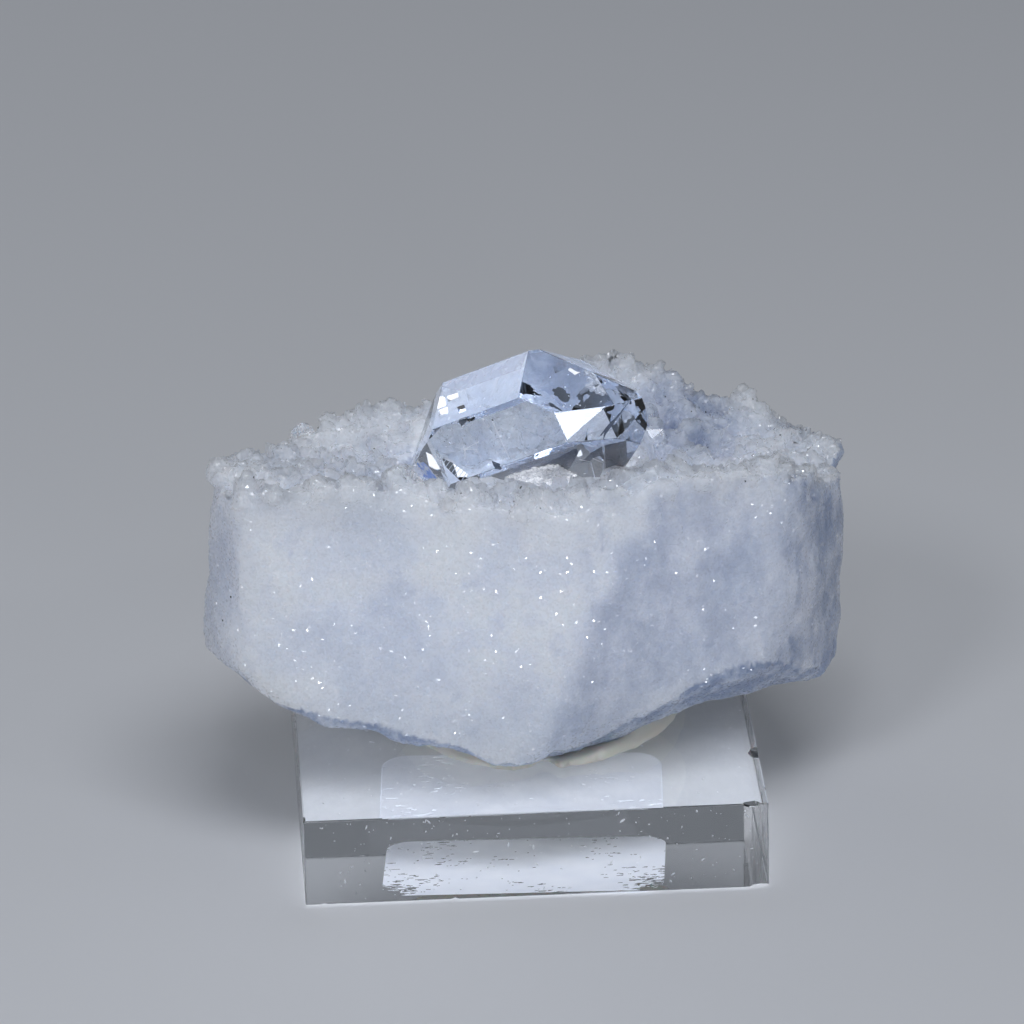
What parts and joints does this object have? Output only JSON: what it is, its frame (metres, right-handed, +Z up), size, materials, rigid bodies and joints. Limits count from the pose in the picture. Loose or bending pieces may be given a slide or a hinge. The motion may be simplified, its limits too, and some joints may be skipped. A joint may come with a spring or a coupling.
{
  "type": "quartz crystal specimen on a display base",
  "caption": "Clear doubly terminated quartz crystal seated in the hollow of a white drusy matrix, held by putty on a clear block with a bare paper label underneath.",
  "frame": {"origin": "middle of the specimen's footprint on the table", "axes": "+X along the display block's front edge, +Y away from the viewer, +Z up"},
  "size_m": [0.0452, 0.0318, 0.0353],
  "materials": {
    "clear_quartz": "natural growth faces, water clear",
    "white_matrix": "sugary, sparkling, translucent",
    "mineral_putty": "hand pressed, satin",
    "clear_acrylic": "polished faces, sawn edges",
    "label_paper": "uncoated, bare"
  },
  "bodies": {
    "root": {"crystal": "clear_quartz", "matrix": "white_matrix", "putty": "mineral_putty", "base": "clear_acrylic", "label": "label_paper"}
  },
  "joints": []
}
